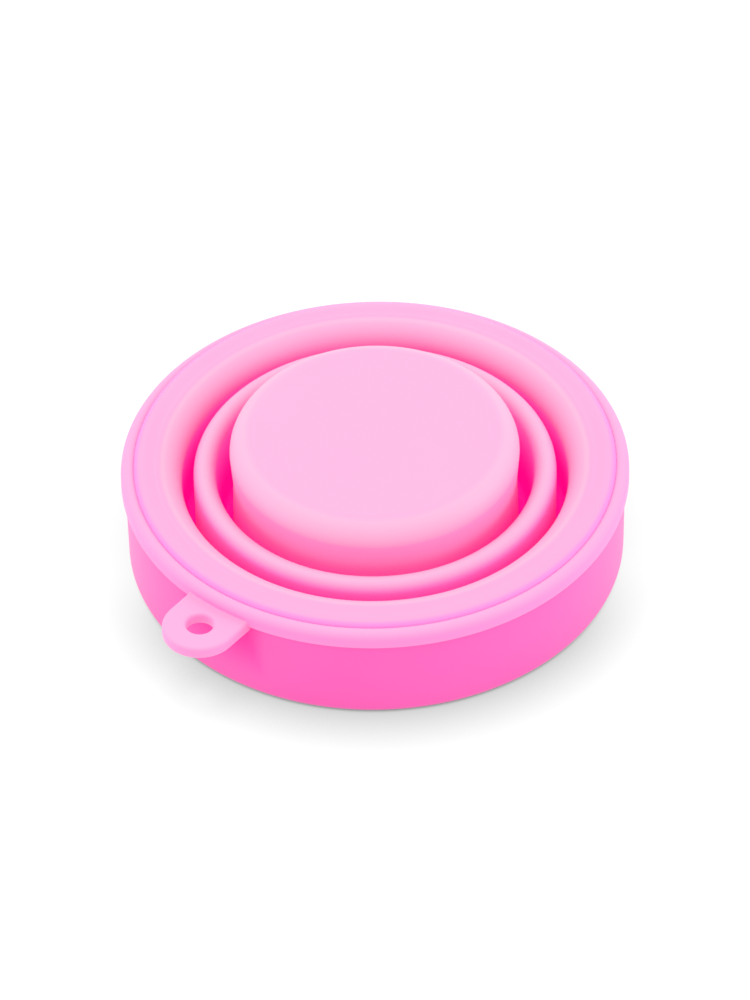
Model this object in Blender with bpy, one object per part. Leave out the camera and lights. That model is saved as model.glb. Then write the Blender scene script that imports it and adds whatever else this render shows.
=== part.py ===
"""Portable mini washer: a collapsible silicone cup stored upside down in its deep silicone lid.

The object is drawn folded. The lid's flat face lies at z = 0, the folded cup sits in it with its
base on top, and the keyring tab points along -Y. Lengths are in metres, +Z is up, and every round
piece is turned about the Z axis.
"""

import math

import bmesh
import bpy

MM = 0.001
AXIS_Z = (0.0, 0.0, 1.0)
ORIGIN = (0.0, 0.0, 0.0)
TURN_STEPS = 64
ARC_STEPS = 4
GAP = 0.3 * MM

# Lid: a deep dish with a rounded lip that stands proud of its wall.
LIP_RADIUS = 44.0 * MM
LIP_STEP = 0.7 * MM
LIP_LOWER_Z = 16.0 * MM
LIP_TOP_Z = 19.1 * MM
LIP_ROUND = 1.3 * MM
LIP_ROUND_Z = 16.6 * MM
LIP_SLOPE = 45
LIP_WIDTH = 2.2 * MM
LID_WALL_TOP_RADIUS = LIP_RADIUS - LIP_STEP
LID_WALL_FOOT_RADIUS = 42.95 * MM
LID_FOOT_ROUND = 1.3 * MM
LID_WALL = 2.9 * MM
LID_FLOOR = 2.4 * MM
SEAT_RADIUS = LIP_RADIUS - LIP_WIDTH
SEAT_Z = 16.7 * MM

# Cup rim: a flat flange that rests on the lid's seat, with a full round inner crest.
RIM_RADIUS = SEAT_RADIUS - GAP
RIM_TOP_Z = 19.8 * MM
RIM_UNDER_Z = SEAT_Z + GAP
RIM_EDGE_ROUND = 0.7 * MM
RIM_CREST_RADIUS = 37.7 * MM
RIM_CREST_ROUND = 4.2 * MM
RIM_SKIN = 1.6 * MM

# Bands: the middle ring's crest, the two folds and the base cup.
FOLD_TURN_Z = 5.95 * MM
FOLD_TURN_ROUND = 0.95 * MM
FOLD_SKIN = 1.4 * MM
OUTER_TURN_RADIUS = 32.25 * MM
INNER_TURN_RADIUS = 25.75 * MM
RING_CREST_RADIUS = 29.5 * MM
RING_CREST_Z = 16.9 * MM
RING_CREST_ROUND = 1.92 * MM
RING_SKIN = 1.5 * MM
BASE_RADIUS = 25.08 * MM
BASE_NECK_Z = 15.9 * MM
BASE_TOP_Z = 26.1 * MM
BASE_ROUND = 4.2 * MM
BASE_SKIN = 2.1 * MM

# Keyring tab: a flat D with one hole, hinged on a thin root against the side of the lip.
TAB_HALF_WIDTH = 6.5 * MM
TAB_CENTRE_Y = -48.6 * MM
TAB_SKIN = 1.9 * MM
TAB_TOP_Z = LIP_LOWER_Z + 1.0 * MM
TAB_MIDDLE_Z = TAB_TOP_Z - TAB_SKIN / 2
TAB_ROOT_Y = -(LIP_RADIUS + GAP)
TAB_HINGE_Y = TAB_ROOT_Y - TAB_SKIN / 2
TAB_HOLE_RADIUS = 2.35 * MM
TAB_END_STEPS = 16
TAB_HOLE_STEPS = 24

PINK = (1.0, 0.34, 0.66, 1.0)
PALE_PINK = (1.0, 0.50, 0.77, 1.0)
SILICONE_ROUGHNESS = 0.45
SHARP_ANGLE = math.radians(40)


def clear_scene():
    for thing in list(bpy.data.objects):
        bpy.data.objects.remove(thing, do_unlink=True)


def silicone(name, colour):
    material = bpy.data.materials.new(name + "_silicone")
    material.use_nodes = True
    shader = material.node_tree.nodes["Principled BSDF"]
    shader.inputs["Base Color"].default_value = colour
    shader.inputs["Roughness"].default_value = SILICONE_ROUGHNESS
    shader.inputs["Metallic"].default_value = 0.0
    return material


def arc(radius, z, round_radius, start, end, steps=ARC_STEPS):
    """Points (radius, z) of an arc between two angles in degrees, measured from outward to up."""
    angles = [math.radians(start + (end - start) * i / steps) for i in range(steps + 1)]
    return [(radius + round_radius * math.cos(a), z + round_radius * math.sin(a)) for a in angles]


def finish(name, bm, colour, origin=ORIGIN):
    """Makes the named object from bm, whose points are in world space, with the given origin."""
    bmesh.ops.recalc_face_normals(bm, faces=bm.faces)
    bmesh.ops.translate(bm, verts=bm.verts, vec=[-value for value in origin])
    mesh = bpy.data.meshes.new(name)
    bm.to_mesh(mesh)
    bm.free()
    mesh.shade_smooth()
    mesh.set_sharp_from_angle(angle=SHARP_ANGLE)
    mesh.materials.append(silicone(name, colour))
    thing = bpy.data.objects.new(name, mesh)
    thing.location = origin
    bpy.context.scene.collection.objects.link(thing)
    return thing


def turned(name, profile, colour, closed):
    """Turns a profile of (radius, z) points about Z. An open profile starts and ends on the axis."""
    bm = bmesh.new()
    points = [bm.verts.new((radius, 0.0, z)) for radius, z in profile]
    pairs = list(zip(points, points[1:]))
    if closed:
        pairs.append((points[-1], points[0]))
    edges = [bm.edges.new(pair) for pair in pairs]
    bmesh.ops.spin(
        bm, geom=points + edges, cent=ORIGIN, axis=AXIS_Z, angle=2 * math.pi, steps=TURN_STEPS
    )
    bmesh.ops.remove_doubles(bm, verts=bm.verts, dist=0.01 * MM)
    return finish(name, bm, colour)


def make_lid():
    foot = arc(LID_WALL_FOOT_RADIUS - LID_FOOT_ROUND, LID_FOOT_ROUND, LID_FOOT_ROUND, -90, 0)
    lip_under = [
        (LID_WALL_TOP_RADIUS, LIP_LOWER_Z - LIP_STEP / 2),
        (LIP_RADIUS - LIP_STEP / 4, LIP_LOWER_Z),
    ]
    lip = arc(LIP_RADIUS - LIP_ROUND, LIP_ROUND_Z, LIP_ROUND, 0, LIP_SLOPE)
    seat = [(SEAT_RADIUS, LIP_TOP_Z), (SEAT_RADIUS, SEAT_Z), (LID_WALL_TOP_RADIUS - LID_WALL, SEAT_Z)]
    inner_foot_radius = LID_WALL_FOOT_RADIUS - LID_WALL - LID_FOOT_ROUND
    inner_foot = arc(inner_foot_radius, LID_FLOOR + LID_FOOT_ROUND, LID_FOOT_ROUND, 0, -90)
    profile = [(0.0, 0.0)] + foot + lip_under + lip + seat + inner_foot + [(0.0, LID_FLOOR)]
    return turned("lid_shell", profile, PINK, closed=False)


def tab_outline():
    """The tab's D seen from above: two straight sides from the root, and a half-round end."""
    root = [(-TAB_HALF_WIDTH, TAB_ROOT_Y), (TAB_HALF_WIDTH, TAB_ROOT_Y)]
    angles = [-math.pi * i / TAB_END_STEPS for i in range(TAB_END_STEPS + 1)]
    end = [
        (TAB_HALF_WIDTH * math.cos(a), TAB_CENTRE_Y + TAB_HALF_WIDTH * math.sin(a))
        for a in angles
    ]
    return root + end


def tab_hole_cutter(tab):
    bm = bmesh.new()
    bmesh.ops.create_cone(
        bm, cap_ends=True, segments=TAB_HOLE_STEPS, radius1=TAB_HOLE_RADIUS,
        radius2=TAB_HOLE_RADIUS, depth=4 * TAB_SKIN,
    )
    bmesh.ops.translate(bm, verts=bm.verts, vec=(0.0, TAB_CENTRE_Y, TAB_MIDDLE_Z))
    cutter = finish("tab_hole_cutter", bm, PALE_PINK)
    cutter.hide_render = True
    cutter.display_type = "WIRE"
    cut = tab.modifiers.new("keyring_hole", "BOOLEAN")
    cut.operation = "DIFFERENCE"
    cut.object = cutter


def make_tab():
    bm = bmesh.new()
    face = bm.faces.new([bm.verts.new((x, y, TAB_TOP_Z)) for x, y in tab_outline()])
    raised = bmesh.ops.extrude_face_region(bm, geom=[face])["geom"]
    lower = [item for item in raised if isinstance(item, bmesh.types.BMVert)]
    bmesh.ops.translate(bm, verts=lower, vec=(0.0, 0.0, -TAB_SKIN))
    root_edges = [
        edge for edge in bm.edges
        if all(abs(vert.co.y - TAB_ROOT_Y) < 0.01 * MM for vert in edge.verts)
        and abs(edge.verts[0].co.x - edge.verts[1].co.x) > TAB_HALF_WIDTH
    ]
    bmesh.ops.bevel(
        bm, geom=root_edges, offset=TAB_SKIN / 2 - 0.02 * MM, segments=ARC_STEPS, profile=0.5,
        affect="EDGES",
    )
    tab = finish("lid_tab", bm, PALE_PINK, origin=(0.0, TAB_HINGE_Y, TAB_MIDDLE_Z))
    tab_hole_cutter(tab)
    return tab


def make_rim():
    edge = arc(RIM_RADIUS - RIM_EDGE_ROUND, RIM_TOP_Z - RIM_EDGE_ROUND, RIM_EDGE_ROUND, 0, 90, 2)
    crest_z = RIM_TOP_Z - RIM_CREST_ROUND
    crest = arc(RIM_CREST_RADIUS, crest_z, RIM_CREST_ROUND, 90, 180, 6)
    under_round = RIM_CREST_ROUND - RIM_SKIN
    under_angle = 180 - math.degrees(math.asin((RIM_UNDER_Z - crest_z) / under_round))
    under = arc(RIM_CREST_RADIUS, crest_z, under_round, 180, under_angle, 2)
    profile = [(RIM_RADIUS, RIM_UNDER_Z)] + edge + crest + under
    return turned("cup_rim", profile, PALE_PINK, closed=True)


def fold(name, turn_radius, top_radius, top_z, colour):
    """A band that hangs from a crest, turns under and rises to the next band's foot."""
    inner = arc(turn_radius, FOLD_TURN_Z, FOLD_TURN_ROUND, 0, -180)
    outer = arc(turn_radius, FOLD_TURN_Z, FOLD_TURN_ROUND + FOLD_SKIN, -180, 0)
    profile = [(top_radius, top_z)] + inner + outer + [(top_radius + FOLD_SKIN, top_z)]
    return turned(name, profile, colour, closed=True)


def make_folds():
    rim_wall_radius = RIM_CREST_RADIUS - RIM_CREST_ROUND
    rim_wall_z = RIM_TOP_Z - RIM_CREST_ROUND
    fold("outer_fold", OUTER_TURN_RADIUS, rim_wall_radius, rim_wall_z - GAP, PINK)
    ring_wall_radius = RING_CREST_RADIUS - RING_CREST_ROUND
    fold("inner_fold", INNER_TURN_RADIUS, ring_wall_radius, RING_CREST_Z - GAP, PINK)


def make_ring():
    foot_z = FOLD_TURN_Z + GAP
    foot_radius = OUTER_TURN_RADIUS - FOLD_TURN_ROUND
    crest = arc(RING_CREST_RADIUS, RING_CREST_Z, RING_CREST_ROUND, 0, 180, 6)
    hollow = arc(RING_CREST_RADIUS, RING_CREST_Z, RING_CREST_ROUND - RING_SKIN, 180, 0, 3)
    profile = [(foot_radius, foot_z)] + crest + hollow + [(foot_radius - RING_SKIN, foot_z)]
    return turned("middle_ring", profile, PALE_PINK, closed=True)


def make_base():
    foot_z = FOLD_TURN_Z + GAP
    foot_radius = INNER_TURN_RADIUS - FOLD_TURN_ROUND
    corner_radius = BASE_RADIUS - BASE_ROUND
    corner_z = BASE_TOP_Z - BASE_ROUND
    outside = arc(corner_radius, corner_z, BASE_ROUND, 0, 90, 6)
    inside = arc(corner_radius, corner_z, BASE_ROUND - BASE_SKIN, 90, 0)
    profile = (
        [(0.0, BASE_TOP_Z - BASE_SKIN)] + inside
        + [(foot_radius - FOLD_SKIN, foot_z), (foot_radius, foot_z), (foot_radius, BASE_NECK_Z)]
        + outside + [(0.0, BASE_TOP_Z)]
    )
    return turned("base_cup", profile, PALE_PINK, closed=False)


def main():
    clear_scene()
    make_lid()
    make_tab()
    make_rim()
    make_folds()
    make_ring()
    make_base()


main()
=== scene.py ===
"""Looks of the portable mini washer: a collapsible silicone cup folded in its silicone lid.

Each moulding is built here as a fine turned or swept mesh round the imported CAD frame. Lengths are in
metres, and the driving sizes are read from the boxes of the CAD nodes.
"""

import math

import bmesh
import bpy
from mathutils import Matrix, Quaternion, Vector


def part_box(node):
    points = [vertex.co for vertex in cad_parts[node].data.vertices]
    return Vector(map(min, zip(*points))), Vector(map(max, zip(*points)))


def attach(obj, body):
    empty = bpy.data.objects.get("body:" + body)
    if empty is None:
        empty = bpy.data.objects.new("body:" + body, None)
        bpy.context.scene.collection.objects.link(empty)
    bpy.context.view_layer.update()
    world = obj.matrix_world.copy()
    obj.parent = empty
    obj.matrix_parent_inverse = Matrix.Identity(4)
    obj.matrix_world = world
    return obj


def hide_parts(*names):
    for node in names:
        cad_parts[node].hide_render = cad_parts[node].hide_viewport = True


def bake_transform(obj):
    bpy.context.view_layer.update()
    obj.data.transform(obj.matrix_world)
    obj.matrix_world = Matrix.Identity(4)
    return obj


MM = 0.001
TURN_STEPS = 240
OUTLINE_STEPS = 144
SHARP_ANGLE = math.radians(35)
LONGEST_STEP = 0.8 * MM
FINE_STEP = 0.4 * MM

# Painted light, a paler colour painted where light falls, as a share from 0 to 1: on each wall, and on
# each flat.
LID_WALL_PAINTED_LIGHT = 0.2
LIP_SIDE_PAINTED_LIGHT = 0.54
LIP_TOP_PAINTED_LIGHT = 0.84
TAB_SIDE_PAINTED_LIGHT = 0.62
CUP_WALL_PAINTED_LIGHT = 0.72
CUP_PAINTED_LIGHT_POWER = 0.5
RING_WALL_PAINTED_LIGHT = 0.58
RING_TOP_PAINTED_LIGHT = 0.95
RING_PAINTED_LIGHT_POWER = 1.6

# The share of its painted light left on the base's flat, outside and inside the rim's crest, and along
# the rim's
# edge: the base's round and the crest get painted highlights, and the seam by the edge gets painted
# shade.
BASE_FLAT_PAINTED_LIGHT = 0.88
BASE_FLAT_START = 0.9
RIM_FLAT_PAINTED_LIGHT = 0.8
RIM_SLOPE_PAINTED_LIGHT = 0.92
RIM_CREST = 36.7 * MM
RIM_CREST_FADE = 0.8 * MM
RIM_EDGE_PAINTED_LIGHT = 0.8
RIM_EDGE_START = 40.7 * MM
RIM_EDGE_END = 41.5 * MM

# The share of painted light left deep in the grooves, as painted shade, and the heights between which
# it comes back.
GROOVE_PAINTED_LIGHT = 0.1
GROOVE_DEEP = 8.0 * MM
GROOVE_LIGHT = 18.0 * MM

# The lid's wall under the tab has no painted light: the tab's shadow is painted there. The light comes
# back between two distances to either side, and over a drop below a height.
TAB_SHADOW_NEAR = 5.5 * MM
TAB_SHADOW_FAR = 9.5 * MM
TAB_SHADOW_TOP = 13.0 * MM
TAB_SHADOW_DROP = 11.0 * MM

# Silicone: its colour for each share of painted light, from the deep colour left in shade to the pale
# lit colour.
LID_STOPS = (
    (0.0, (1.0, 0.0, 0.36, 1.0)),
    (0.2, (1.0, 0.09, 0.46, 1.0)),
    (0.55, (1.0, 0.245, 0.61, 1.0)),
    (1.0, (1.0, 0.4, 0.6, 1.0)),
)
CUP_STOPS = (
    (0.0, (1.0, 0.025, 0.66, 1.0)),
    (0.5, (1.0, 0.185, 0.68, 1.0)),
    (0.8, (1.0, 0.33, 0.58, 1.0)),
    (1.0, (1.0, 0.41, 0.6, 1.0)),
)
FOLD_STOPS = (
    (0.0, (1.0, 0.01, 0.5, 1.0)),
    (1.0, (1.0, 0.4, 0.6, 1.0)),
)
# A painted glow on the folds, standing in for light that soaks through them.
FOLD_PAINTED_GLOW = (1.0, 0.0, 0.9, 1.0)
FOLD_PAINTED_GLOW_STRENGTH = 0.12
SILICONE_IOR = 1.42
ROUGHNESS = 0.5
ROUGHNESS_SPREAD = 0.05
LID_GLOSS = 0.22
CUP_GLOSS = 0.5
FOLD_GLOSS = 0.15
LID_SHEEN = 0.28
CUP_SHEEN = 0.2
SHEEN_ROUGHNESS = 0.6
SHEEN_TINT = (1.0, 0.9, 0.96, 1.0)
CLOUD_SCALE = 45.0
CLOUD_DETAIL = 3.0
CLOUD_DEPTH = 0.03
GRAIN_SCALE = 4000.0
GRAIN_DETAIL = 2.0
GRAIN_HEIGHT = 0.02 * MM
GRAIN_STRENGTH = 0.1

# Lid: insets are measured in from the lip's outside.
LID_SKIN = 2.9 * MM
LID_FLOOR = 2.4 * MM
LID_FOOT_ROUND = 1.3 * MM
LID_INSIDE_ROUND = 1.5 * MM
WALL_TOP_INSET = 0.7 * MM
WALL_FOOT_INSET = 1.05 * MM
LIP_LOWER_Z = 16.05 * MM
LIP_ROUND = 1.4 * MM
LIP_UNDER_ROUND = 0.2 * MM
LIP_NECK_ROUND = 0.25 * MM
LIP_TOP_DROP = 0.1 * MM
LIP_SAG = 1.0 * MM
SAG_START = 11.0 * MM
SEAT_INSET = 2.25 * MM
SEAT_DEPTH = 3.1 * MM
SEAT_ROUND_WIDTH = 0.8 * MM
SEAT_ROUND_DROP = 0.4 * MM

# Keyring tab: its hole's radius, its edges, and its root, which runs into the lip's side.
TAB_HOLE = 2.35 * MM
TAB_EDGE = 0.6 * MM
TAB_CREASE = 0.4 * MM
TAB_FULLER = 0.4 * MM
TAB_ROOT_OVERLAP = 1.4 * MM
TAB_TOP_STEPS = 24

# Cup: depths are measured down from the top of the same band.
SKIN = 1.4 * MM
FOLD_TURN = 0.95 * MM
OUTER_FOLD_RADIUS = 32.25 * MM
INNER_FOLD_RADIUS = 25.75 * MM
RING_CREST_ROUND = 1.92 * MM
BASE_SKIN = 2.1 * MM
BASE_CORNER = 4.2 * MM
BASE_NECK_DEPTH = 10.2 * MM
BASE_WAIST = 0.22 * MM
RIM_STEP = 0.12 * MM
RIM_UNDER_DEPTH = 2.8 * MM
RIM_OVERHANG = 0.36 * MM
RIM_UNDER_ROUND = 0.2 * MM
RIM_EDGE_WIDTH = 2.0 * MM
RIM_EDGE_DROP = 1.15 * MM

# The small step from the flange up to the crest: distance outside the centre of the crest's round, and
# share of the step's height.
RIM_STEP_POINTS = ((0.75 * MM, 0.0), (0.45 * MM, 0.3), (0.15 * MM, 0.9))

# Studio: a glowing floor, with a soft contact shadow that is fainter behind, under an even sky.
FLOOR_SIZE = 3.0
FLOOR_GLOW = 1.1
SHADOW_SAMPLES = 16
SHADOW_REACH = 15 * MM
SHADOW_POWER = 0.75
SHADOW_BEHIND = 0.35
SHADOW_FADE_START = 0.1
SHADOW_FADE_END = 0.7
SKY = 1.1
SOFTBOX_SIZE = 0.5

# Soft lights: azimuth and elevation in degrees round the object, and power in watts.
SOFTBOXES = {
    "key_light": (145, 60, 1.6),
    "left_light": (190, 20, 0.9),
    "right_light": (-5, 20, 2.0),
}

# Enough bounces to keep the narrow grooves from going black.
MAX_BOUNCES = 24
DIFFUSE_BOUNCES = 16

# Camera: a long lens above the front right of the keyring tab.
CAMERA_AZIMUTH = math.radians(38.9)
CAMERA_ELEVATION = math.radians(42.4)
CAMERA_ROLL = math.radians(-1.13)
CAMERA_DISTANCE = 2.5
CAMERA_LENS = 519.0
CAMERA_SHIFT = -0.0006
CAMERA_REACH = 20.0
AIM_HEIGHT = 10.3 * MM


# ---------------------------------------------------------------- profiles and meshes


def ellipse(radius, z, width, height, start, end, steps=10):
    """Points (radius, z) round a centre, between two angles in degrees from outward to up."""
    angles = [math.radians(start + (end - start) * i / steps) for i in range(steps + 1)]
    return [(radius + width * math.cos(a), z + height * math.sin(a)) for a in angles]


def arc(radius, z, round_radius, start, end, steps=10):
    """The same for a circle."""
    return ellipse(radius, z, round_radius, round_radius, start, end, steps)


def refined(profile, longest, closed):
    """The same profile with every stretch cut into pieces no longer than the given length."""
    ends = profile[1:] + profile[:1] if closed else profile[1:]
    points = []
    for (r0, z0), (r1, z1) in zip(profile, ends):
        count = max(1, math.ceil(math.hypot(r1 - r0, z1 - z0) / longest))
        points += [(r0 + (r1 - r0) * i / count, z0 + (z1 - z0) * i / count) for i in range(count)]
    return points if closed else points + [profile[-1]]


def ramp(value, low, high):
    """0 at low and 1 at high, with soft ends."""
    t = min(1.0, max(0.0, (value - low) / (high - low)))
    return t * t * (3 - 2 * t)


def top_light_share(up, side, top, power=1.0):
    """The painted light where the normal's height is up: side on a wall, and top on an upward flat, so
    faces turned up are painted paler, as if lit from above.
    """
    return side + (top - side) * max(0.0, up) ** power


def lid_painted_light(normal, place):
    """The lid's painted light, less on its wall and none on the wall under the tab, where the tab's
    shadow is painted.
    """
    if place.z > LIP_LOWER_Z:
        return top_light_share(normal.z, LIP_SIDE_PAINTED_LIGHT, LIP_TOP_PAINTED_LIGHT)
    # A painted shadow of the tab darkens the wall below it, fading to either side and downward.
    beside = ramp(abs(place.x), TAB_SHADOW_NEAR, TAB_SHADOW_FAR)
    below = ramp(TAB_SHADOW_TOP - place.z, 0.0, TAB_SHADOW_DROP)
    share = top_light_share(normal.z, LID_WALL_PAINTED_LIGHT, LIP_TOP_PAINTED_LIGHT)
    return share * max(beside, below) if place.y < 0 else share


def tab_painted_light(normal, place):
    """The tab's painted light, a little less on its sides than on its top."""
    return top_light_share(normal.z, TAB_SIDE_PAINTED_LIGHT, LIP_TOP_PAINTED_LIGHT)


def groove_light_share(place):
    """How much of the painted light is left at a height: all of it on top, and little down in the
    grooves, as painted shade.
    """
    return GROOVE_PAINTED_LIGHT + (1.0 - GROOVE_PAINTED_LIGHT) * ramp(place.z, GROOVE_DEEP, GROOVE_LIGHT)


def cup_painted_light(normal, place):
    """The painted light of the cup and its folds: paler on faces turned up."""
    return groove_light_share(place) * top_light_share(normal.z, CUP_WALL_PAINTED_LIGHT, 1.0, CUP_PAINTED_LIGHT_POWER)


def ring_painted_light(normal, place):
    """The ring's painted light, pale only along the top of its crest, as a painted highlight."""
    share = top_light_share(normal.z, RING_WALL_PAINTED_LIGHT, RING_TOP_PAINTED_LIGHT, RING_PAINTED_LIGHT_POWER)
    return groove_light_share(place) * share


def base_painted_light(normal, place):
    """The base's painted light, a little less on its flat than on the round beside it, as a painted
    highlight there.
    """
    thinner = (1.0 - BASE_FLAT_PAINTED_LIGHT) * ramp(normal.z, BASE_FLAT_START, 1.0)
    return cup_painted_light(normal, place) * (1.0 - thinner)


def rim_painted_light(normal, place):
    """The rim's painted light, less on both sides of its crest and along its outer edge: a painted
    highlight on the crest and painted shade at the seam.
    """
    radius = math.hypot(place.x, place.y)
    # Painted highlight along the crest, and painted shade along the outer edge by the seam.
    outside = (1.0 - RIM_FLAT_PAINTED_LIGHT) * ramp(radius - RIM_CREST, 0.0, RIM_CREST_FADE)
    inside = (1.0 - RIM_SLOPE_PAINTED_LIGHT) * ramp(RIM_CREST - radius, 0.0, RIM_CREST_FADE)
    edge = (1.0 - RIM_EDGE_PAINTED_LIGHT) * ramp(radius, RIM_EDGE_START, RIM_EDGE_END)
    return cup_painted_light(normal, place) * (1.0 - outside - inside) * (1.0 - edge)


def link_mesh(name, bm, material, painted_light=None):
    """Makes a smooth-shaded object at the origin from bm, with its painted light and shade stored per
    point.
    """
    bmesh.ops.recalc_face_normals(bm, faces=bm.faces)
    bm.normal_update()
    # The painted light and shade from the part's own function is stored per point for the material.
    if painted_light:
        layer = bm.verts.layers.float.new("painted_light")
        for vert in bm.verts:
            vert[layer] = painted_light(vert.normal, vert.co)
    mesh = bpy.data.meshes.new(name)
    bm.to_mesh(mesh)
    bm.free()
    mesh.shade_smooth()
    mesh.set_sharp_from_angle(angle=SHARP_ANGLE)
    mesh.materials.append(material)
    piece = bpy.data.objects.new(name, mesh)
    bpy.context.scene.collection.objects.link(piece)
    return piece


def turned(name, profile, material, closed, painted_light=cup_painted_light, longest=LONGEST_STEP):
    """Turns a profile of (radius, z) about Z. An open profile starts and ends on the axis."""
    bm = bmesh.new()
    rows = []
    for radius, z in refined(profile, longest, closed):
        if radius < 0.001 * MM:
            rows.append([bm.verts.new((0.0, 0.0, z))] * TURN_STEPS)
            continue
        angles = [2 * math.pi * i / TURN_STEPS for i in range(TURN_STEPS)]
        rows.append([bm.verts.new((radius * math.cos(a), radius * math.sin(a), z)) for a in angles])
    pairs = list(zip(rows, rows[1:]))
    if closed:
        pairs.append((rows[-1], rows[0]))
    for row, following in pairs:
        for i in range(TURN_STEPS):
            j = (i + 1) % TURN_STEPS
            corners = list(dict.fromkeys((row[i], row[j], following[j], following[i])))
            bm.faces.new(corners)
    return link_mesh(name, bm, material, painted_light)


# ---------------------------------------------------------------- materials


def node(tree, kind, **values):
    """Adds a node to a material's tree and sets its own properties."""
    made = tree.nodes.new(kind)
    for name, value in values.items():
        setattr(made, name, value)
    return made


def noise(tree, place, scale, detail):
    """Noise over the object's own coordinates, in features of 1 / scale metres."""
    made = node(tree, "ShaderNodeTexNoise")
    made.inputs["Scale"].default_value = scale
    made.inputs["Detail"].default_value = detail
    tree.links.new(place.outputs["Object"], made.inputs["Vector"])
    return made


def colour_by_painted_light(tree, shader, place, stops):
    """Colours the shader by the stored painted light, which drifts a little in soft clouds."""
    links = tree.links
    # The stored painted light picks the colour between the shaded stops and the lit stops.
    painted_light = node(tree, "ShaderNodeAttribute", attribute_name="painted_light")
    clouds = noise(tree, place, CLOUD_SCALE, CLOUD_DETAIL)
    drift = node(tree, "ShaderNodeMapRange")
    drift.inputs["To Min"].default_value = -CLOUD_DEPTH
    drift.inputs["To Max"].default_value = CLOUD_DEPTH
    links.new(clouds.outputs["Fac"], drift.inputs["Value"])
    share = node(tree, "ShaderNodeMath", operation="ADD", use_clamp=True)
    links.new(painted_light.outputs["Fac"], share.inputs[0])
    links.new(drift.outputs["Result"], share.inputs[1])
    tint = node(tree, "ShaderNodeValToRGB")
    ramp_stops = tint.color_ramp.elements
    for position, _ in stops[1:-1]:
        ramp_stops.new(position)
    for stop, (position, colour) in zip(ramp_stops, stops):
        stop.position = position
        stop.color = colour
    links.new(share.outputs["Value"], tint.inputs["Fac"])
    links.new(tint.outputs["Color"], shader.inputs["Base Color"])


def add_grain(tree, shader, place):
    """Adds a fine grain to the shader's roughness and bump."""
    links = tree.links
    grain = noise(tree, place, GRAIN_SCALE, GRAIN_DETAIL)
    gloss = node(tree, "ShaderNodeMapRange")
    gloss.inputs["To Min"].default_value = ROUGHNESS - ROUGHNESS_SPREAD
    gloss.inputs["To Max"].default_value = ROUGHNESS + ROUGHNESS_SPREAD
    links.new(grain.outputs["Fac"], gloss.inputs["Value"])
    links.new(gloss.outputs["Result"], shader.inputs["Roughness"])

    bump = node(tree, "ShaderNodeBump")
    bump.inputs["Strength"].default_value = GRAIN_STRENGTH
    bump.inputs["Distance"].default_value = GRAIN_HEIGHT
    links.new(grain.outputs["Fac"], bump.inputs["Height"])
    links.new(bump.outputs["Normal"], shader.inputs["Normal"])


def silicone(name, stops, sheen, gloss_level):
    """Matte moulded silicone: a deep body colour, painted paler where light falls, with fine grain."""
    material = bpy.data.materials.new(name)
    material.use_nodes = True
    tree = material.node_tree
    shader = tree.nodes["Principled BSDF"]
    place = node(tree, "ShaderNodeTexCoord")
    colour_by_painted_light(tree, shader, place, stops)
    add_grain(tree, shader, place)
    shader.inputs["IOR"].default_value = SILICONE_IOR
    shader.inputs["Specular IOR Level"].default_value = gloss_level
    shader.inputs["Sheen Weight"].default_value = sheen
    shader.inputs["Sheen Roughness"].default_value = SHEEN_ROUGHNESS
    shader.inputs["Sheen Tint"].default_value = SHEEN_TINT
    return material


def fold_silicone():
    """The thin folds, deep in colour, with a little painted glow standing in for the light that soaks
    through them.
    """
    material = silicone("fold_silicone", FOLD_STOPS, 0.0, FOLD_GLOSS)
    shader = material.node_tree.nodes["Principled BSDF"]
    shader.inputs["Emission Color"].default_value = FOLD_PAINTED_GLOW
    shader.inputs["Emission Strength"].default_value = FOLD_PAINTED_GLOW_STRENGTH
    return material


# ---------------------------------------------------------------- lid


def sag_lip(lid):
    """Lets the lip hang a little low at the side away from the camera, as a soft lid does."""
    behind = round_object(90, 0, 1.0)
    for vert in lid.data.vertices:
        flat = Vector((vert.co.x, vert.co.y, 0.0))
        turn = max(0.0, flat.normalized().dot(behind)) if flat.length > MM else 0.0
        vert.co.z -= LIP_SAG * turn * ramp(vert.co.z, SAG_START, LIP_LOWER_Z)


def lid_profile(low_z, high_z, lip, seat_z):
    """The lid's section as (radius, z), from its face up round the lip and down to its floor."""
    wall_top, wall_foot = lip - WALL_TOP_INSET, lip - WALL_FOOT_INSET
    inner_top, inner_foot = wall_top - LID_SKIN, wall_foot - LID_SKIN
    seat = lip - SEAT_INSET
    floor = low_z + LID_FLOOR
    lip_top = high_z - LIP_TOP_DROP
    return (
        [(0.0, low_z)]
        + arc(wall_foot - LID_FOOT_ROUND, low_z + LID_FOOT_ROUND, LID_FOOT_ROUND, -90, 0)
        + arc(wall_top + LIP_NECK_ROUND, LIP_LOWER_Z - LIP_NECK_ROUND, LIP_NECK_ROUND, 180, 90, 4)
        + arc(lip - LIP_UNDER_ROUND, LIP_LOWER_Z + LIP_UNDER_ROUND, LIP_UNDER_ROUND, -90, 0, 4)
        + arc(lip - LIP_ROUND, lip_top - LIP_ROUND, LIP_ROUND, 0, 90, 20)
        + ellipse(seat + SEAT_ROUND_WIDTH, lip_top - SEAT_ROUND_DROP,
                  SEAT_ROUND_WIDTH, SEAT_ROUND_DROP, 90, 180, 6)
        + [(seat, seat_z), (inner_top, seat_z)]
        + arc(inner_foot - LID_INSIDE_ROUND, floor + LID_INSIDE_ROUND, LID_INSIDE_ROUND, 0, -90)
        + [(0.0, floor)]
    )


def make_lid(material):
    low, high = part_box("lid_shell")
    seat_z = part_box("cup_rim")[1].z - SEAT_DEPTH
    profile = lid_profile(low.z, high.z, high.x, seat_z)
    lid = turned("lid_moulding", profile, material, closed=False, painted_light=lid_painted_light)
    sag_lip(lid)
    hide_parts("lid_shell")
    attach(lid, "lid")


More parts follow.
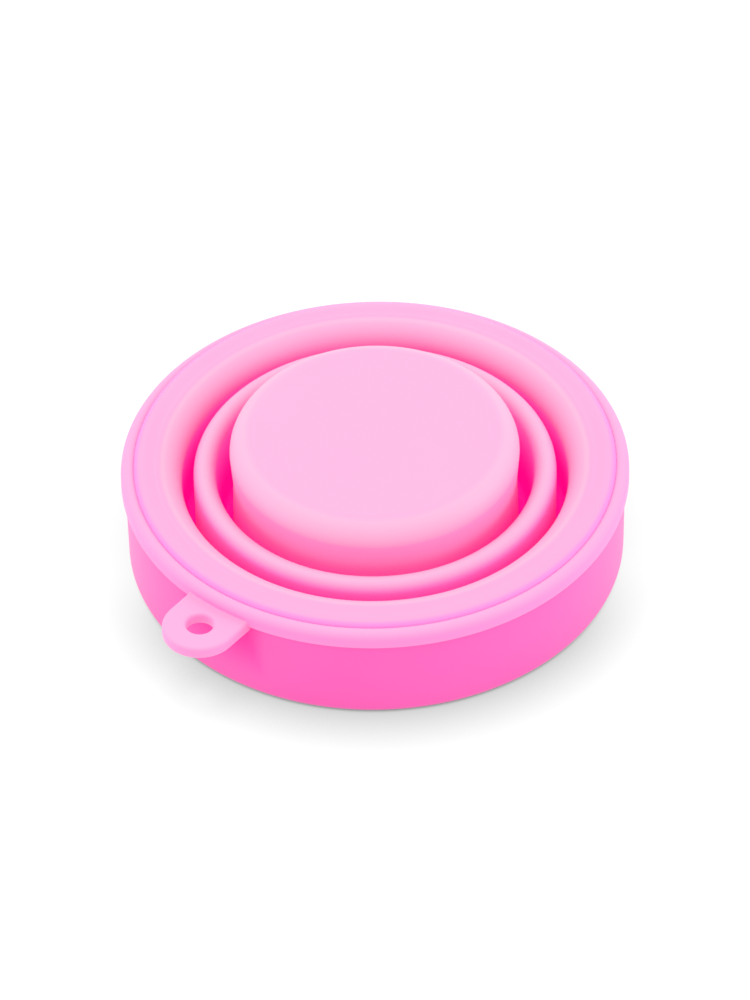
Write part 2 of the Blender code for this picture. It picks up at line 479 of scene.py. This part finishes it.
def tab_outline(angle, half_width, centre_y, root_y):
    """Distance from the hole's centre to the D-shaped outline, at an angle from +X."""
    x, y = math.cos(angle), math.sin(angle)
    if y <= 0:
        return half_width
    reach_side = half_width / abs(x) if abs(x) > 1e-6 else math.inf
    reach_root = (root_y - centre_y) / y
    return min(reach_side, reach_root)


def crease(x, y, lip):
    """How far the tab's top rises where it runs into the lip's side."""
    near = TAB_CREASE - min(TAB_CREASE, max(0.0, math.hypot(x, y) - lip))
    return TAB_CREASE - math.sqrt(TAB_CREASE ** 2 - near ** 2)


def tab_section(reach, low_z, high_z):
    """The tab's section from the hole to its outline, as (distance, z), round at both edges."""
    edge = TAB_EDGE
    inner, outer = TAB_HOLE + edge, reach - edge
    top = [inner + (outer - inner) * i / TAB_TOP_STEPS for i in range(1, TAB_TOP_STEPS)]
    return (
        arc(inner, high_z - edge, edge, 180, 90, 5)
        + [(distance, high_z) for distance in top]
        + arc(outer, high_z - edge, edge, 90, 0, 5)
        + arc(outer, low_z + edge, edge, 0, -90, 5)
        + arc(inner, low_z + edge, edge, -90, -180, 5)
    )


def tab_mesh(low, high, lip):
    """Sweeps the tab's section round its hole, out to the outline."""
    half_width = high.x
    centre_y = low.y + half_width
    root_y = high.y + TAB_ROOT_OVERLAP
    middle_z = (low.z + high.z) / 2
    corner = math.atan2(root_y - centre_y, half_width)
    angles = [2 * math.pi * i / OUTLINE_STEPS for i in range(OUTLINE_STEPS)]
    bm = bmesh.new()
    rings = []
    for angle in sorted(angles + [corner, math.pi - corner]):
        reach = tab_outline(angle, half_width, centre_y, root_y)
        ring = []
        for distance, z in tab_section(reach, low.z - TAB_FULLER, high.z):
            x, y = distance * math.cos(angle), centre_y + distance * math.sin(angle)
            rise = crease(x, y, lip) if z > middle_z else 0.0
            ring.append(bm.verts.new((x, y, z + rise)))
        rings.append(ring)
    for ring, following in zip(rings, rings[1:] + rings[:1]):
        for i in range(len(ring)):
            j = (i + 1) % len(ring)
            bm.faces.new((ring[i], ring[j], following[j], following[i]))
    return bm


def make_tab(material):
    low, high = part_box("lid_tab")
    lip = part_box("lid_shell")[1].x
    tab = link_mesh("keyring_tab", tab_mesh(low, high, lip), material, painted_light=tab_painted_light)
    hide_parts("lid_tab")
    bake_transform(tab)


# ---------------------------------------------------------------- cup


def cup_sizes():
    """The cup's driving sizes, read from the CAD nodes."""
    rim_low, rim_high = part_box("cup_rim")
    outer_low, outer_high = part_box("outer_fold")
    ring_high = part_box("middle_ring")[1]
    inner_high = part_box("inner_fold")[1]
    base_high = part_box("base_cup")[1]
    return {
        "rim": rim_high.x, "rim_top": rim_high.z, "rim_foot": rim_low.z,
        "rim_wall": outer_high.x - SKIN,
        "ring": ring_high.x, "ring_crest_z": ring_high.z - RING_CREST_ROUND,
        "ring_wall": inner_high.x - SKIN,
        "base": base_high.x, "base_top": base_high.z,
        "foot_z": outer_low.z + FOLD_TURN + SKIN,
    }


def rim_profile(sizes):
    """The rim's section as (radius, z): a flange, a small step up to the crest, and the skin."""
    crest_round = sizes["rim_top"] - sizes["rim_foot"]
    crest_radius = sizes["rim_wall"] + crest_round
    crest_z = sizes["rim_foot"]
    under_z = sizes["rim_top"] - RIM_UNDER_DEPTH
    under_round = crest_round - SKIN
    under_angle = 180 - math.degrees(math.asin((under_z - crest_z) / under_round))
    outer = sizes["rim"] + RIM_OVERHANG
    flange_z = sizes["rim_top"] - RIM_STEP
    return (
        [(outer - RIM_UNDER_ROUND, under_z), (outer, under_z + RIM_UNDER_ROUND)]
        + ellipse(outer - RIM_EDGE_WIDTH, flange_z - RIM_EDGE_DROP,
                  RIM_EDGE_WIDTH, RIM_EDGE_DROP, 0, 90, 12)
        + [(crest_radius + past, flange_z + RIM_STEP * share) for past, share in RIM_STEP_POINTS]
        + arc(crest_radius, crest_z, crest_round, 90, 180, 24)
        + arc(crest_radius, crest_z, under_round, 180, under_angle, 8)
    )


def make_rim(sizes, material):
    rim = turned("rim_moulding", rim_profile(sizes), material, closed=True, painted_light=rim_painted_light,
                 longest=FINE_STEP)
    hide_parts("cup_rim")
    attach(rim, "rim")


def make_fold(name, cad_node, turn_radius, wall, top_z, foot_z, material):
    """A band that hangs from a crest, turns under and rises to the foot of the next band."""
    profile = (
        [(wall, top_z)]
        + arc(turn_radius, foot_z, FOLD_TURN, 0, -180, 16)
        + arc(turn_radius, foot_z, FOLD_TURN + SKIN, -180, 0, 16)
        + [(wall + SKIN, top_z)]
    )
    fold = turned(name, profile, material, closed=True, longest=FINE_STEP)
    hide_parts(cad_node)
    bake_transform(fold)


def make_ring(sizes, material):
    foot_z, foot_radius = sizes["foot_z"], OUTER_FOLD_RADIUS - FOLD_TURN
    crest_radius = sizes["ring"] - RING_CREST_ROUND
    crest_z = sizes["ring_crest_z"]
    profile = (
        [(foot_radius, foot_z)]
        + arc(crest_radius, crest_z, RING_CREST_ROUND, 0, 180, 28)
        + arc(crest_radius, crest_z, RING_CREST_ROUND - SKIN, 180, 0, 12)
        + [(foot_radius - SKIN, foot_z)]
    )
    ring = turned("ring_moulding", profile, material, closed=True, painted_light=ring_painted_light)
    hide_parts("middle_ring")
    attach(ring, "ring")


def make_base(sizes, material):
    foot_z, foot_radius = sizes["foot_z"], INNER_FOLD_RADIUS - FOLD_TURN
    top_z = sizes["base_top"]
    corner_radius, corner_z = sizes["base"] - BASE_CORNER, top_z - BASE_CORNER
    profile = (
        [(0.0, top_z - BASE_SKIN)]
        + arc(corner_radius, corner_z, BASE_CORNER - BASE_SKIN, 90, 0)
        + [(foot_radius - SKIN, foot_z), (foot_radius, foot_z)]
        + [(foot_radius - BASE_WAIST, top_z - BASE_NECK_DEPTH)]
        + arc(corner_radius, corner_z, BASE_CORNER, 0, 90, 24)
        + [(0.0, top_z)]
    )
    base = turned("base_moulding", profile, material, closed=False, painted_light=base_painted_light)
    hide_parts("base_cup")
    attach(base, "base")


def make_cup(cup_material, fold_material):
    sizes = cup_sizes()
    foot_z = sizes["foot_z"]
    make_rim(sizes, cup_material)
    make_fold("outer_fold_skin", "outer_fold", OUTER_FOLD_RADIUS,
              sizes["rim_wall"], sizes["rim_foot"], foot_z, fold_material)
    make_ring(sizes, cup_material)
    make_fold("inner_fold_skin", "inner_fold", INNER_FOLD_RADIUS,
              sizes["ring_wall"], sizes["ring_crest_z"], foot_z, fold_material)
    make_base(sizes, cup_material)


# ---------------------------------------------------------------- stage


def contact_shade(tree):
    """1 in the open, and darker where the object stands close over the floor."""
    shade = node(tree, "ShaderNodeAmbientOcclusion", samples=SHADOW_SAMPLES)
    shade.inputs["Distance"].default_value = SHADOW_REACH
    soften = node(tree, "ShaderNodeMath", operation="POWER")
    soften.inputs[1].default_value = SHADOW_POWER
    tree.links.new(shade.outputs["AO"], soften.inputs[0])
    return soften.outputs["Value"]


def shade_depth(tree):
    """How much of the shade is used: all of it in front of the object, and less behind."""
    place = node(tree, "ShaderNodeTexCoord")
    outward = node(tree, "ShaderNodeVectorMath", operation="NORMALIZE")
    tree.links.new(place.outputs["Object"], outward.inputs[0])
    front = node(tree, "ShaderNodeVectorMath", operation="DOT_PRODUCT")
    front.inputs[1].default_value = round_object(-90, 0, 1.0)
    tree.links.new(outward.outputs["Vector"], front.inputs[0])
    depth = node(tree, "ShaderNodeMapRange", interpolation_type="SMOOTHSTEP")
    depth.inputs["From Min"].default_value = SHADOW_FADE_START
    depth.inputs["From Max"].default_value = SHADOW_FADE_END
    depth.inputs["To Min"].default_value = SHADOW_BEHIND
    tree.links.new(front.outputs["Value"], depth.inputs["Value"])
    return depth.outputs["Result"]


def floor_material():
    """White that glows evenly and darkens only where the object shades it."""
    material = bpy.data.materials.new("studio_floor")
    material.use_nodes = True
    tree = material.node_tree
    tree.nodes.clear()
    output = node(tree, "ShaderNodeOutputMaterial")
    glow = node(tree, "ShaderNodeEmission")
    tone = node(tree, "ShaderNodeMix", data_type="FLOAT")
    tone.inputs["A"].default_value = 1.0
    tree.links.new(shade_depth(tree), tone.inputs["Factor"])
    tree.links.new(contact_shade(tree), tone.inputs["B"])
    tree.links.new(tone.outputs["Result"], glow.inputs["Color"])
    glow.inputs["Strength"].default_value = FLOOR_GLOW
    tree.links.new(glow.outputs["Emission"], output.inputs["Surface"])
    return material


def make_floor():
    bm = bmesh.new()
    bmesh.ops.create_grid(bm, x_segments=1, y_segments=1, size=FLOOR_SIZE)
    link_mesh("studio_floor", bm, floor_material())


def round_object(azimuth, elevation, distance):
    """A point round the object. Azimuth 0 is to the camera's right, and 90 is behind the object."""
    a, e = math.radians(azimuth) + CAMERA_AZIMUTH, math.radians(elevation)
    direction = Vector((math.cos(a) * math.cos(e), math.sin(a) * math.cos(e), math.sin(e)))
    return direction * distance


def softbox(name, azimuth, elevation, power):
    """A round soft light a metre from the object, facing it."""
    data = bpy.data.lights.new(name, "AREA")
    data.shape = "DISK"
    data.size = SOFTBOX_SIZE
    data.energy = power
    light = bpy.data.objects.new(name, data)
    light.location = round_object(azimuth, elevation, 1.0)
    light.rotation_mode = "QUATERNION"
    light.rotation_quaternion = (-light.location).to_track_quat("-Z", "Y")
    bpy.context.scene.collection.objects.link(light)


def make_light():
    world = bpy.data.worlds.new("studio")
    world.use_nodes = True
    sky = world.node_tree.nodes["Background"]
    sky.inputs["Color"].default_value = (1.0, 1.0, 1.0, 1.0)
    sky.inputs["Strength"].default_value = SKY
    bpy.context.scene.world = world
    for name, (azimuth, elevation, power) in SOFTBOXES.items():
        softbox(name, azimuth, elevation, power)
    scene = bpy.context.scene
    scene.view_settings.view_transform = "Standard"
    scene.cycles.max_bounces = MAX_BOUNCES
    scene.cycles.diffuse_bounces = DIFFUSE_BOUNCES


def make_camera():
    back = Vector((
        math.sin(CAMERA_AZIMUTH) * math.cos(CAMERA_ELEVATION),
        -math.cos(CAMERA_AZIMUTH) * math.cos(CAMERA_ELEVATION),
        math.sin(CAMERA_ELEVATION),
    ))
    data = bpy.data.cameras.new("camera")
    data.lens = CAMERA_LENS
    data.shift_x = CAMERA_SHIFT
    data.clip_end = CAMERA_REACH
    camera = bpy.data.objects.new("camera", data)
    camera.location = Vector((0.0, 0.0, AIM_HEIGHT)) + back * CAMERA_DISTANCE
    camera.rotation_mode = "QUATERNION"
    facing = (-back).to_track_quat("-Z", "Y")
    camera.rotation_quaternion = facing @ Quaternion((0.0, 0.0, 1.0), CAMERA_ROLL)
    bpy.context.scene.collection.objects.link(camera)
    bpy.context.scene.camera = camera


# ---------------------------------------------------------------- main


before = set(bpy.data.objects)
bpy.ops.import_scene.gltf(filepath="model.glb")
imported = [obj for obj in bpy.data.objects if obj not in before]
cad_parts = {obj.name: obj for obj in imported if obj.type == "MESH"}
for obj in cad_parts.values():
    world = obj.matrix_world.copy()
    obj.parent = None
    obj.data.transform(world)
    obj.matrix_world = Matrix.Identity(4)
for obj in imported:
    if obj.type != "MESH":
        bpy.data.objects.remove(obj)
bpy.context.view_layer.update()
make_camera()
make_floor()
make_light()
lid_silicone = silicone("lid_silicone", LID_STOPS, LID_SHEEN, LID_GLOSS)
make_lid(lid_silicone)
make_tab(lid_silicone)
make_cup(silicone("cup_silicone", CUP_STOPS, CUP_SHEEN, CUP_GLOSS), fold_silicone())
